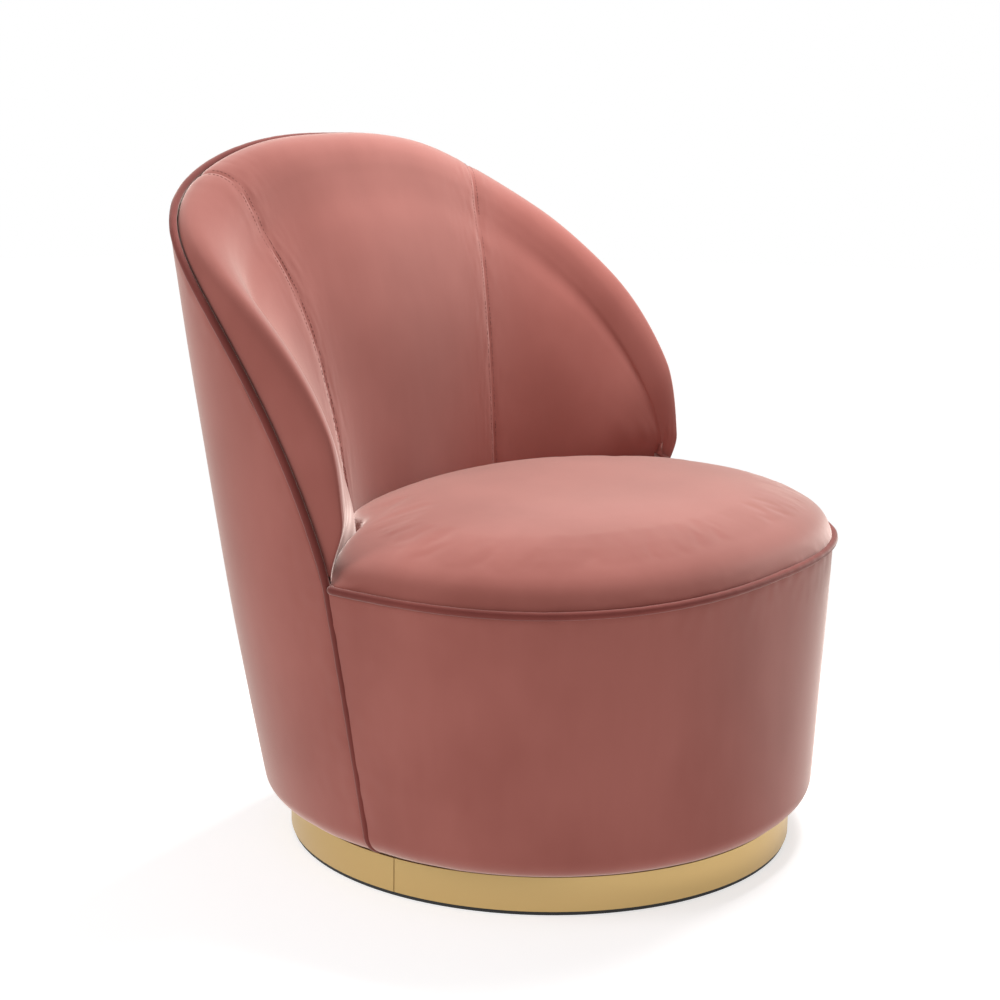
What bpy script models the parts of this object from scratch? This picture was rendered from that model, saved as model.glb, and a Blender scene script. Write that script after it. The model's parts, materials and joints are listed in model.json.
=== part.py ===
"""Velvet tub chair that swivels on a low metal-banded plinth.

Metres, +Z up, the floor at Z = 0, and the sitter faces -Y. Angles called theta are
measured around the upholstered body from its rear centre, positive towards +X.
Heights called drop are measured straight down from the welted edge of the back.
"""
import math

import bmesh
import bpy
from mathutils import Matrix, Vector

# Clearance between pieces that touch
GAP = 0.0003
SKIN = 0.0020
BOARD = 0.0030

# Upholstered body: half width, rear depth and front depth, which grow with height
BODY_Y = -0.0155
SIDE_BASE, SIDE_LEAN = 0.303, 0.112
REAR_BASE, REAR_LEAN = 0.316, 0.013
FRONT_BASE, FRONT_LEAN = 0.298, -0.030
REAR_POWER, REAR_SQUARING = 2.0, 2.97
FRONT_POWER, FRONT_SQUARING = 2.0, 1.5
BODY_BOTTOM = 0.046
BODY_ROUND = 0.022
FLANGE = 0.020
WALL_ROWS = 6

# Welted edge of the back, from the seat on one side over the top to the other side
SEAT_Z = 0.334
BACK_TOP = 0.774
EDGE_END = math.radians(81.8)
EDGE_FORWARD, EDGE_FALL = 2.92, 0.83
SEAM_FOOT = math.radians(86.7)
WELT_RADIUS = 0.0042
WELT_INSET = 0.003
WELT_CLEAR = 0.0050

# Pad inside the back: a rolled lip at the welt, then a face that thickens downwards
LIP_INSET, LIP_HALF, LIP_DROP, LIP_RISE = 0.0158, 0.0073, 0.002, 0.0105
PAD_TOP, PAD_GROWTH, PAD_LENGTH = 0.0214, 0.110, 0.130
PAD_BOTTOM = 0.320
PANEL_SEAM = math.radians(38.5)
PAD_END = math.radians(80.0)
FOAM_BACK = 0.0375
FOAM_HOOK = 0.0105
HOOK_DROP = 0.034

# Timber frame
POST_OUTER, POST_INNER = 0.0095, 0.0320
POST_HALF = 0.015
RAIL_DROP_TOP, RAIL_DROP_BOTTOM = 0.039, 0.078
RAIL_END = math.radians(67.0)
JOINT_CLEAR = 0.003
BOARD_HOLE = 0.030
BASE_BOARD_Z, BASE_BOARD_TOP = 0.0495, 0.0645
BASE_BOARD_INSET = 0.0195
SEAT_RAIL_Z, SEAT_RAIL_TOP = 0.255, 0.285
SEAT_RAIL_OUTER, SEAT_RAIL_INNER = 0.0340, 0.076
BACK_POSTS = {"centre": 0.0, "left": 35.0, "right": -35.0, "wing_left": 62.0, "wing_right": -62.0}
FRONT_POSTS = {"centre": 180.0, "left": 124.0, "right": -124.0}
STRAPS = ((0.400, 68.0), (0.480, 60.0), (0.570, 46.0))
STRAP_INSET, STRAP_HALF, STRAP_THICKNESS = POST_INNER + 0.0012, 0.025, 0.0015
CLOTH_Z, CLOTH_TOP, CLOTH_HOLE = 0.0465, 0.0475, 0.152

# Seat
SEAT_BASE = 0.3185
SEAT_CROWN = 0.403
SEAT_EDGE_RISE = 0.0052
SEAT_CENTRE_Y = BODY_Y - 0.030
FELT_Z, FELT_TOP, FELT_INSET, FELT_HOLE = 0.3110, 0.3170, 0.040, 0.001
SPRINGS, SPRING_BENDS = 4, 14
SPRING_RADIUS = 0.0019
SPRING_SPACING = 0.095
SPRING_SWING = 0.022
SPRING_FRONT, SPRING_LENGTH, SPRING_ARCH = -0.255, 0.475, 0.018

# Plinth and swivel bearing, centred on the swivel axis
AXIS_Y = -0.0055
PLINTH_RADIUS = 0.288
BAND = 0.0014
FOOT_TOP = 0.004
HOOP_TOP = 0.040
FOOT_INNER, HOOP_INNER = 0.262, 0.2665
BAND_TOP = 0.042
BAND_JOINT = math.radians(182.0)
BAND_SLIT = 0.0006
DECK_Z, DECK_TOP = 0.008, 0.020
RACE_RADIUS = 0.126
BALL_Z, BALL_RADIUS, BALLS = 0.0345, 0.0041, 8
BALL_POCKET = BALL_RADIUS + 0.0005
CAGE_INNER, CAGE_OUTER, CAGE_Z, CAGE_TOP = 0.1165, 0.1355, 0.0336, 0.0354
LOWER_PLATE = ((0.1135, 0.0281), (0.1385, 0.0281), (0.1480, 0.0203), (0.1900, 0.0203),
               (0.1900, 0.0223), (0.1490, 0.0223), (0.1425, 0.0277), (0.1425, 0.0430),
               (0.1310, 0.0430), (0.1310, 0.0414), (0.1405, 0.0414), (0.1405, 0.0301),
               (0.1135, 0.0301))
UPPER_PLATE = ((0.0600, 0.0472), (0.1100, 0.0472), (0.1100, 0.0389), (0.1393, 0.0389),
               (0.1393, 0.0405), (0.1120, 0.0405), (0.1120, 0.0492), (0.0600, 0.0492))
LOWER_FACE, UPPER_FACE = 0.0223, 0.0472
LOWER_SCREWS, UPPER_SCREWS, SCREWS = 0.170, 0.085, 4
LOWER_SHANK, UPPER_SHANK = 0.0120, 0.0130
SCREW_RADIUS, SCREW_HEAD, HEAD_HEIGHT = 0.0022, 0.0046, 0.0024
SCREW_HOLE = SCREW_RADIUS + GAP
ROUND_STEPS, PLATE_STEPS, BOARD_STEPS, SMALL_STEPS = 48, 24, 40, 10

VELVET = ("velvet", (0.42, 0.13, 0.10), 0.85, 0.0)
WELT = ("velvet_welt", (0.30, 0.07, 0.06), 0.85, 0.0)
BRASS = ("brushed_brass", (0.55, 0.38, 0.16), 0.35, 1.0)
RUBBER = ("black_rubber", (0.02, 0.02, 0.02), 0.8, 0.0)
TIMBER = ("birch_plywood", (0.62, 0.45, 0.27), 0.6, 0.0)
FIBREBOARD = ("fibreboard", (0.33, 0.23, 0.14), 0.8, 0.0)
FOAM = ("foam", (0.85, 0.80, 0.62), 0.95, 0.0)
STEEL = ("zinc_steel", (0.60, 0.60, 0.62), 0.4, 1.0)
NYLON = ("nylon", (0.80, 0.80, 0.76), 0.5, 0.0)
WEBBING = ("elastic_webbing", (0.08, 0.08, 0.09), 0.9, 0.0)
CLOTH = ("black_cloth", (0.03, 0.03, 0.03), 0.95, 0.0)


# ---------------------------------------------------------------- shape of the body

def shell(theta, z, inset=0.0):
    """Point on the body's outer surface, moved in by inset."""
    side = SIDE_BASE + SIDE_LEAN * z - inset
    if math.cos(theta) > 0.0:
        depth = REAR_BASE + REAR_LEAN * z - inset
        power = REAR_POWER + REAR_SQUARING * z
    else:
        depth = FRONT_BASE + FRONT_LEAN * z - inset
        power = FRONT_POWER + FRONT_SQUARING * z
    across = abs(math.sin(theta)) / side
    along = abs(math.cos(theta)) / depth
    radius = (across ** power + along ** power) ** (-1.0 / power)
    return Vector((radius * math.sin(theta), BODY_Y + radius * math.cos(theta), z))


def shell_radius(theta, z):
    """Distance of the body's surface from its own centre line."""
    return (shell(theta, z) - Vector((0.0, BODY_Y, z))).length


def edge_height(theta):
    """Height of the welted edge at theta."""
    share = min(abs(theta) / EDGE_END, 1.0)
    return SEAT_Z + (BACK_TOP - SEAT_Z) * (1.0 - share ** EDGE_FORWARD) ** EDGE_FALL


def edge_theta(share):
    """Angle along the edge for share from -1 to 1, close together near its ends."""
    return EDGE_END * math.sin(math.pi / 2 * share)


def edge_inside(share, distance):
    """Angle and height of a point within the back, at a distance from the edge."""
    step = 0.004
    first = edge_theta(max(share - step, -1.0))
    last = edge_theta(min(share + step, 1.0))
    theta = edge_theta(share)
    height = edge_height(theta)
    radius = shell_radius(theta, height)
    along = Vector(((last - first) * radius, edge_height(last) - edge_height(first))).normalized()
    return theta + along.y * distance / radius, height - along.x * distance


def seam_theta(z):
    """Angle of the side seam that runs from the edge's end down to the base."""
    fall = (SEAT_Z - z) / (SEAT_Z - BODY_BOTTOM)
    return EDGE_END + (SEAM_FOOT - EDGE_END) * fall


def lip_point(turn, depth):
    """Inset and drop on the rolled lip, turn from 0 at the welt to 1 inside the chair."""
    angle = math.pi * turn
    inset = LIP_INSET - (LIP_HALF - depth) * math.cos(angle)
    return inset, LIP_DROP - (LIP_RISE - depth) * math.sin(angle)


def pad_inset(drop, depth):
    """Inset of the pad's face, with depth measured into the pad."""
    return PAD_TOP + PAD_GROWTH * (1.0 - math.exp(-drop / PAD_LENGTH)) - depth


def pad_column(theta, depth, bottom=PAD_BOTTOM):
    """Points down the pad's face at theta, from the welt to the bottom."""
    top = edge_height(theta)
    rows = [lip_point(turn / 4, depth) for turn in range(5)]
    reach = top - bottom
    for share in (0.10, 0.22, 0.38, 0.58, 0.80, 1.0):
        drop = LIP_DROP + (reach - LIP_DROP) * share
        rows.append((pad_inset(drop, depth), drop))
    return [shell(theta, top - drop, inset) for inset, drop in rows]


def wall_column(theta_of, top, inset):
    """Points down a cover from top, round the underside and in along its flange."""
    start = BODY_BOTTOM + BODY_ROUND
    rows = [(top + (start - top) * i / WALL_ROWS, inset) for i in range(WALL_ROWS + 1)]
    for turn in (1, 2, 3):
        angle = math.pi / 6 * turn
        reach = BODY_ROUND - inset
        rows.append((start - reach * math.sin(angle), BODY_ROUND - reach * math.cos(angle)))
    rows.append((BODY_BOTTOM + inset, BODY_ROUND + FLANGE))
    return [shell(theta_of(z), z, depth) for z, depth in rows]


# ---------------------------------------------------------------- building helpers

def clear_scene():
    """Start from an empty scene."""
    for old in list(bpy.data.objects):
        bpy.data.objects.remove(old, do_unlink=True)


def finish_material(finish):
    """The material for a finish, made once."""
    name, colour, roughness, metallic = finish
    material = bpy.data.materials.get(name)
    if material is None:
        material = bpy.data.materials.new(name)
        material.use_nodes = True
        surface = material.node_tree.nodes["Principled BSDF"]
        surface.inputs["Base Color"].default_value = (*colour, 1.0)
        surface.inputs["Roughness"].default_value = roughness
        surface.inputs["Metallic"].default_value = metallic
    return material


def add_mesh(name, work, finish, parent, smooth=True):
    """Turn a bmesh into a named object with outward faces."""
    bmesh.ops.recalc_face_normals(work, faces=work.faces)
    mesh = bpy.data.meshes.new(name)
    work.to_mesh(mesh)
    work.free()
    mesh.materials.append(finish_material(finish))
    part = bpy.data.objects.new(name, mesh)
    bpy.context.scene.collection.objects.link(part)
    attach(part, parent)
    if smooth:
        mesh.shade_smooth()
    return part


def attach(part, parent):
    """Parent a part, keeping it where it was modelled."""
    part.parent = parent
    part.matrix_parent_inverse = Matrix.Translation(-parent.location)


def add_axis(name, location):
    """An empty that a moving body hangs from."""
    axis = bpy.data.objects.new(name, None)
    axis.location = location
    bpy.context.scene.collection.objects.link(axis)
    return axis


def loft(name, sections, finish, parent, smooth=True):
    """Closed solid through matching closed sections, capped at both ends."""
    work = bmesh.new()
    loops = [[work.verts.new(point) for point in section] for section in sections]
    add_grid(work, [loop + loop[:1] for loop in loops])
    work.faces.new(loops[0])
    work.faces.new(loops[-1])
    return add_mesh(name, work, finish, parent, smooth)


def add_grid(work, grid):
    """Two triangles for each cell, all split the same way so that layers stay parallel."""
    for near, far in zip(grid, grid[1:]):
        for i in range(len(near) - 1):
            work.faces.new((near[i], near[i + 1], far[i + 1]))
            work.faces.new((near[i], far[i + 1], far[i]))


def bridge(work, near, far):
    """Quads between two matching loops."""
    for i in range(len(near)):
        j = (i + 1) % len(near)
        work.faces.new((near[i], near[j], far[j], far[i]))


def add_fan(work, loop, tip):
    """Close a loop with triangles to a tip."""
    for i in range(len(loop)):
        work.faces.new((loop[i], loop[(i + 1) % len(loop)], tip))


def skin(name, outer, inner, finish, parent):
    """Closed sheet between an outer and an inner grid of points."""
    work = bmesh.new()
    front, back = ([[work.verts.new(point) for point in column] for column in grid]
                   for grid in (outer, inner))
    add_grid(work, front)
    add_grid(work, back)
    for line in ([front[0], back[0]], [front[-1], back[-1]]):
        add_grid(work, line)
    for end in (0, -1):
        add_grid(work, [[column[end] for column in front], [column[end] for column in back]])
    return add_mesh(name, work, finish, parent)


def revolve(name, outline, finish, parent, steps=ROUND_STEPS, start=BAND_JOINT, sweep=math.tau):
    """Turn an outline of (radius, height) points about the swivel axis."""
    closed = sweep >= math.tau
    angles = [start + sweep * i / steps for i in range(steps if closed else steps + 1)]
    work = bmesh.new()
    loops = []
    for angle in angles:
        points = [(r * math.cos(angle), AXIS_Y + r * math.sin(angle), z) for r, z in outline]
        loops.append([work.verts.new(point) for point in points])
    pairs = list(zip(loops, loops[1:]))
    if closed:
        pairs.append((loops[-1], loops[0]))
    else:
        work.faces.new(loops[0])
        work.faces.new(loops[-1])
    for near, far in pairs:
        bridge(work, near, far)
    return add_mesh(name, work, finish, parent, smooth=False)


def tube(name, points, radius, finish, parent):
    """Round cord or wire through points, with closed ends."""
    curve = bpy.data.curves.new(name, "CURVE")
    curve.dimensions = "3D"
    curve.bevel_depth = radius
    curve.bevel_resolution = 1
    curve.use_fill_caps = True
    line = curve.splines.new("POLY")
    line.points.add(len(points) - 1)
    for knot, point in zip(line.points, points):
        knot.co = (*point, 1.0)
    line.use_smooth = True
    curve.materials.append(finish_material(finish))
    part = bpy.data.objects.new(name, curve)
    bpy.context.scene.collection.objects.link(part)
    attach(part, parent)
    return part


def ring_spots(radius, count, start=0.0):
    """Points spaced evenly around the swivel axis."""
    turns = [start + math.tau * i / count for i in range(count)]
    return [(radius * math.cos(turn), AXIS_Y + radius * math.sin(turn)) for turn in turns]


def drill(part, spots, radius, bottom, top):
    """Cut round holes through a part at each spot."""
    work = bmesh.new()
    for x, y in spots:
        place = Matrix.Translation((x, y, (bottom + top) / 2))
        bmesh.ops.create_cone(work, cap_ends=True, segments=SMALL_STEPS, radius1=radius,
                              radius2=radius, depth=top - bottom, matrix=place)
    mesh = bpy.data.meshes.new(part.name + "_holes")
    work.to_mesh(mesh)
    work.free()
    cutter = bpy.data.objects.new(mesh.name, mesh)
    bpy.context.scene.collection.objects.link(cutter)
    cut = part.modifiers.new("holes", "BOOLEAN")
    cut.operation = "DIFFERENCE"
    cut.solver = "EXACT"
    cut.object = cutter
    bpy.context.view_layer.update()
    result = bpy.data.meshes.new_from_object(part.evaluated_get(bpy.context.evaluated_depsgraph_get()))
    part.modifiers.clear()
    part.data = result
    bpy.data.objects.remove(cutter, do_unlink=True)


def add_screw(name, x, y, head_z, upward, length, parent):
    """Pan head screw whose head bears at head_z, with its shank going up or down."""
    way = 1.0 if upward else -1.0
    outline = ((SCREW_HEAD, -HEAD_HEIGHT), (SCREW_HEAD, 0.0), (SCREW_RADIUS, 0.0),
               (SCREW_RADIUS, length))
    work = bmesh.new()
    loops = []
    for radius, along in outline:
        turns = [math.tau * i / SMALL_STEPS for i in range(SMALL_STEPS)]
        loops.append([work.verts.new((x + radius * math.cos(turn), y + radius * math.sin(turn),
                                      head_z + way * along)) for turn in turns])
    for near, far in zip(loops, loops[1:]):
        bridge(work, near, far)
    work.faces.new(loops[0])
    work.faces.new(loops[-1])
    add_mesh(name, work, STEEL, parent, smooth=False)


# ---------------------------------------------------------------- plinth and bearing

def box_outline(inner, outer, bottom, top):
    """Rectangular outline for a ring."""
    return ((inner, bottom), (outer, bottom), (outer, top), (inner, top))


def build_plinth(root):
    """Floor ring, hoop, brass band and deck."""
    hoop_outer = PLINTH_RADIUS - BAND - GAP
    revolve("foot_ring", box_outline(FOOT_INNER, hoop_outer, 0.0, FOOT_TOP), RUBBER, root)
    revolve("plinth_hoop", box_outline(HOOP_INNER, hoop_outer, FOOT_TOP + GAP, HOOP_TOP), TIMBER, root)
    band_gap = BAND_SLIT / PLINTH_RADIUS
    revolve("plinth_band", box_outline(PLINTH_RADIUS - BAND, PLINTH_RADIUS, FOOT_TOP + GAP, BAND_TOP),
            BRASS, root, ROUND_STEPS, BAND_JOINT + band_gap / 2, math.tau - band_gap)
    deck = revolve("plinth_deck", box_outline(BOARD_HOLE, HOOP_INNER - GAP, DECK_Z, DECK_TOP),
                   TIMBER, root)
    drill(deck, ring_spots(LOWER_SCREWS, SCREWS), SCREW_HOLE, DECK_Z - SKIN, DECK_TOP + SKIN)


def build_bearing(root, cage, chair):
    """Two pressed plates that clip together around a ring of balls."""
    lower = revolve("swivel_lower_plate", LOWER_PLATE, STEEL, root, PLATE_STEPS)
    upper = revolve("swivel_upper_plate", UPPER_PLATE, STEEL, chair, PLATE_STEPS)
    lower_spots = ring_spots(LOWER_SCREWS, SCREWS)
    upper_spots = ring_spots(UPPER_SCREWS, SCREWS)
    drill(lower, lower_spots, SCREW_HOLE, LOWER_FACE - 2 * SKIN, LOWER_FACE + SKIN)
    drill(upper, upper_spots, SCREW_HOLE, UPPER_FACE - SKIN, UPPER_FACE + 2 * SKIN)
    for number, (x, y) in enumerate(lower_spots, 1):
        add_screw(f"lower_plate_screw_{number}", x, y, LOWER_FACE + GAP, False, LOWER_SHANK, root)
    for number, (x, y) in enumerate(upper_spots, 1):
        add_screw(f"upper_plate_screw_{number}", x, y, UPPER_FACE - GAP, True, UPPER_SHANK, chair)
    balls = ring_spots(RACE_RADIUS, BALLS, math.tau / BALLS / 2)
    ring = revolve("ball_cage", box_outline(CAGE_INNER, CAGE_OUTER, CAGE_Z, CAGE_TOP), NYLON, cage,
                   PLATE_STEPS)
    drill(ring, balls, BALL_POCKET, CAGE_Z - SKIN, CAGE_TOP + SKIN)
    for number, (x, y) in enumerate(balls, 1):
        work = bmesh.new()
        bmesh.ops.create_uvsphere(work, u_segments=8, v_segments=5, radius=BALL_RADIUS,
                                  matrix=Matrix.Translation((x, y, BALL_Z)))
        add_mesh(f"bearing_ball_{number}", work, STEEL, cage)


# ---------------------------------------------------------------- frame

def closed_ring(name, sections, finish, parent):
    """Closed loop of matching sections."""
    work = bmesh.new()
    loops = [[work.verts.new(point) for point in section] for section in sections]
    for near, far in zip(loops, loops[1:] + loops[:1]):
        bridge(work, near, far)
    return add_mesh(name, work, finish, parent, smooth=False)


def body_disc(name, bottom, top, inset, finish, parent, hole):
    """Flat board that follows the body's outline, with a round hole about the axis."""
    centre = Vector((0.0, AXIS_Y, bottom))
    rise = Vector((0.0, 0.0, top - bottom))
    sections = []
    for i in range(BOARD_STEPS):
        outer = shell(math.tau * i / BOARD_STEPS, bottom, inset)
        inner = centre + (outer - centre).normalized() * hole
        sections.append((inner, outer, outer + rise, inner + rise))
    return closed_ring(name, sections, finish, parent)


def add_post(name, theta, top_of, parent):
    """Upright that stands on the base board and follows the wall."""
    spread = POST_HALF / shell_radius(theta, SEAT_Z)
    bottom = BASE_BOARD_TOP + GAP
    sections = []
    corners = ((-1, POST_OUTER), (1, POST_OUTER), (1, POST_INNER), (-1, POST_INNER))
    for i in range(WALL_ROWS + 1):
        section = []
        for side, inset in corners:
            corner = theta + side * spread
            z = bottom + (top_of(corner) - bottom) * i / WALL_ROWS
            section.append(shell(corner, z, inset))
        sections.append(section)
    loft(name, sections, TIMBER, parent, smooth=False)


def build_frame(chair):
    """Base board, posts, seat rail and the bent rail that follows the back's edge."""
    board = body_disc("base_board", BASE_BOARD_Z, BASE_BOARD_TOP, BASE_BOARD_INSET, TIMBER, chair,
                      BOARD_HOLE)
    drill(board, ring_spots(UPPER_SCREWS, SCREWS), SCREW_HOLE, BASE_BOARD_Z - SKIN,
          BASE_BOARD_TOP + SKIN)
    body_disc("underside_cloth", CLOTH_Z, CLOTH_TOP, BODY_ROUND + FLANGE + SKIN, CLOTH, chair,
              CLOTH_HOLE)
    for place, angle in BACK_POSTS.items():
        add_post(f"back_post_{place}", math.radians(angle),
                 lambda theta: edge_height(theta) - RAIL_DROP_BOTTOM - JOINT_CLEAR, chair)
    for place, angle in FRONT_POSTS.items():
        add_post(f"front_post_{place}", math.radians(angle), lambda theta: SEAT_RAIL_TOP, chair)
    build_rails(chair)
    build_webbing(chair)


def build_rails(chair):
    """The bent rail that follows the back's edge and the ring that carries the seat."""
    rail = []
    for i in range(33):
        theta = RAIL_END * math.sin(math.pi / 2 * (i / 16 - 1))
        top = edge_height(theta)
        corners = ((RAIL_DROP_BOTTOM, POST_OUTER), (RAIL_DROP_TOP, POST_OUTER),
                   (RAIL_DROP_TOP, POST_INNER), (RAIL_DROP_BOTTOM, POST_INNER))
        rail.append([shell(theta, top - drop, inset) for drop, inset in corners])
    loft("back_rail", rail, TIMBER, chair, smooth=False)
    ring = []
    for i in range(BOARD_STEPS):
        theta = math.tau * i / BOARD_STEPS
        corners = ((SEAT_RAIL_Z, SEAT_RAIL_OUTER), (SEAT_RAIL_TOP, SEAT_RAIL_OUTER),
                   (SEAT_RAIL_TOP, SEAT_RAIL_INNER), (SEAT_RAIL_Z, SEAT_RAIL_INNER))
        ring.append([shell(theta, z, inset) for z, inset in corners])
    closed_ring("seat_rail", ring, TIMBER, chair)


def build_webbing(chair):
    """Elastic straps across the back posts."""
    for number, (z, reach) in enumerate(STRAPS, 1):
        low, high = z - STRAP_HALF, z + STRAP_HALF
        behind, before = STRAP_INSET, STRAP_INSET + STRAP_THICKNESS
        corners = ((low, behind), (high, behind), (high, before), (low, before))
        sections = []
        for i in range(25):
            theta = math.radians(reach) * (i / 12 - 1)
            sections.append([shell(theta, height, inset) for height, inset in corners])
        loft(f"back_webbing_{number}", sections, WEBBING, chair, smooth=False)


def build_springs(chair):
    """Zigzag wires from the front of the seat rail to its rear."""
    rest = SEAT_RAIL_TOP + SPRING_RADIUS + GAP
    for number in range(SPRINGS):
        x = (number - (SPRINGS - 1) / 2) * SPRING_SPACING
        points = []
        for i in range(2 * SPRING_BENDS + 1):
            share = i / (2 * SPRING_BENDS)
            swing = (0.0, 1.0, 0.0, -1.0)[i % 4] * SPRING_SWING
            rise = SPRING_ARCH * math.sin(math.pi * share)
            points.append((x + swing, SPRING_FRONT + SPRING_LENGTH * share, rest + rise))
        tube(f"seat_spring_{number + 1}", points, SPRING_RADIUS, STEEL, chair)


# ---------------------------------------------------------------- boards and covers

def board_column(theta_of, top, inset):
    """Points down a liner board from top to just above the rounded underside."""
    bottom = BODY_BOTTOM + BODY_ROUND
    rows = [top + (bottom - top) * i / WALL_ROWS for i in range(WALL_ROWS + 1)]
    return [shell(theta_of(z), z, inset) for z in rows]


def add_wall(place, columns, chair):
    """A cover and the liner board behind it; a column is (angle at a height, two tops)."""
    inset = SKIN + 2 * GAP
    outer = [wall_column(lean, top, 0.0) for lean, top, _ in columns]
    inner = [wall_column(lean, top, SKIN) for lean, top, _ in columns]
    skin(f"{place}_cover", outer, inner, VELVET, chair)
    outer = [board_column(lean, top, inset) for lean, _, top in columns]
    inner = [board_column(lean, top, inset + BOARD) for lean, _, top in columns]
    skin(f"{place}_board", outer, inner, FIBREBOARD, chair)


def build_outer_back(chair):
    """Outer cover of the back, which runs down to the underside, and its liner board."""
    end = EDGE_END - WELT_CLEAR / shell_radius(EDGE_END, SEAT_Z)
    columns = []
    for i in range(29):
        theta, top = edge_inside(i / 14 - 1, WELT_CLEAR)

        def lean(z, share=theta / end):
            if z > SEAT_Z:
                return share * end
            return share * (seam_theta(z) - WELT_CLEAR / shell_radius(EDGE_END, z))
        columns.append((lean, top, top))
    add_wall("outer_back", columns, chair)


def build_front(chair):
    """Plain front cover below the seat welt and the liner board behind it."""
    columns = []
    for i in range(21):

        def lean(z, side=i / 10 - 1):
            reach = math.pi - seam_theta(z) - WELT_CLEAR / shell_radius(EDGE_END, z)
            return math.pi + side * reach
        columns.append((lean, SEAT_Z - WELT_CLEAR, SEAT_BASE - JOINT_CLEAR))
    add_wall("front", columns, chair)


def build_welts(chair):
    """Piping along the back's edge and down both side seams, and round the seat."""
    foot = BODY_BOTTOM + BODY_ROUND
    down = [foot + (SEAT_Z - foot) * share for share in (0.0, 0.35, 0.7, 0.92)]
    right = [shell(-seam_theta(z), z, WELT_INSET) for z in down]
    left = [shell(seam_theta(z), z, WELT_INSET) for z in reversed(down)]
    over = []
    for i in range(41):
        theta = edge_theta(i / 20 - 1)
        over.append(shell(theta, edge_height(theta), WELT_INSET))
    tube("back_piping", right + over + left, WELT_RADIUS, WELT, chair)
    start = EDGE_END + 0.0100 / shell_radius(EDGE_END, SEAT_Z)
    around = []
    for i in range(31):
        theta = start + (math.tau - 2 * start) * i / 30
        around.append(shell(theta, SEAT_Z, 0.0))
    tube("seat_piping", around, WELT_RADIUS, WELT, chair)


# ---------------------------------------------------------------- pads

def panel_angles(first, last, count):
    """Column angles between two edges of a panel, closer together where the edge is steep."""
    start, end = (math.asin(angle / EDGE_END) for angle in (first, last))
    return [EDGE_END * math.sin(start + (end - start) * i / count) for i in range(count + 1)]


def back_panels():
    """Column angles of the three panels, by place."""
    split = 0.0006 / shell_radius(PANEL_SEAM, SEAT_Z)
    return {"centre": panel_angles(-PANEL_SEAM + split, PANEL_SEAM - split, 8),
            "left": panel_angles(PANEL_SEAM + split, PAD_END, 8),
            "right": panel_angles(-PAD_END, -PANEL_SEAM - split, 8)}


def foam_section(theta):
    """Closed loop round the foam in the plane of theta."""
    depth = SKIN + 2 * GAP
    top = edge_height(theta)
    reach = top - PAD_BOTTOM
    back = [(FOAM_BACK, reach + (HOOK_DROP - reach) * i / 3) for i in range(4)]
    back.append((FOAM_HOOK + depth, HOOK_DROP))
    face = pad_column(theta, depth)
    return face + [shell(theta, top - drop, inset) for inset, drop in back]


def build_back_pads(chair):
    """Three foam pads and the three panels of the inside cover."""
    for place, angles in back_panels().items():
        loft(f"back_foam_{place}", [foam_section(theta) for theta in angles], FOAM, chair)
        outer = [pad_column(theta, 0.0) for theta in angles]
        inner = [pad_column(theta, SKIN) for theta in angles]
        skin(f"inside_back_cover_{place}", outer, inner, VELVET, chair)


def seat_outline(front_inset, rear_gap):
    """Plan of the seat: behind it follows the pads, in front the body's wall."""
    panels = back_panels()
    behind = panels["right"] + panels["centre"] + panels["left"]
    rear = []
    for theta in behind:
        drop = edge_height(theta) - PAD_BOTTOM
        rear.append(shell(theta, PAD_BOTTOM, pad_inset(drop, -rear_gap)))
    start = EDGE_END + 0.0075 / shell_radius(EDGE_END, SEAT_Z)
    front = []
    for i in range(21):
        theta = start + (math.tau - 2 * start) * i / 20
        front.append(shell(theta, SEAT_Z, front_inset))
    return [Vector((point.x, point.y, 0.0)) for point in rear + front]


def seat_rings(outline, levels, crown):
    """Rings of the domed seat, straight up through the levels and then in to the crown."""
    centre = Vector((0.0, SEAT_CENTRE_Y, 0.0))
    rim = levels[-1]
    rings = [[point + Vector((0, 0, level)) for point in outline] for level in levels]
    for share in (0.985, 0.93, 0.84, 0.66, 0.36):
        height = Vector((0, 0, rim + (crown - rim) * (1.0 - share ** 3) ** (1 / 2.2)))
        rings.append([centre + (point - centre) * share + height for point in outline])
    return rings


def add_rings(work, rings, crown):
    """Bridge rings up to a tip at the crown, and return the lowest."""
    loops = [[work.verts.new(point) for point in ring] for ring in rings]
    for near, far in zip(loops, loops[1:]):
        bridge(work, near, far)
    add_fan(work, loops[-1], work.verts.new((0.0, SEAT_CENTRE_Y, crown)))
    return loops[0]


def build_seat(chair):
    """Foam seat, its cover, and the felt that keeps the springs off the foam."""
    crown = SEAT_CROWN - SKIN - 2 * GAP
    rings = seat_rings(seat_outline(0.0080, 0.0042), (SEAT_BASE, SEAT_Z + 0.003), crown)
    work = bmesh.new()
    lowest = add_rings(work, rings, crown)
    add_fan(work, lowest, work.verts.new((0.0, SEAT_CENTRE_Y, SEAT_BASE)))
    add_mesh("seat_foam", work, FOAM, chair)
    work = bmesh.new()
    edge = (SEAT_Z + SEAT_EDGE_RISE,)
    outside = seat_rings(seat_outline(0.0012, 0.0012), edge, SEAT_CROWN)
    inside = seat_rings(seat_outline(0.0036, 0.0034), edge, SEAT_CROWN - SKIN)
    bridge(work, add_rings(work, outside, SEAT_CROWN), add_rings(work, inside, SEAT_CROWN - SKIN))
    add_mesh("seat_cover", work, VELVET, chair)
    body_disc("spring_felt", FELT_Z, FELT_TOP, FELT_INSET, CLOTH, chair, FELT_HOLE)


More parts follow.
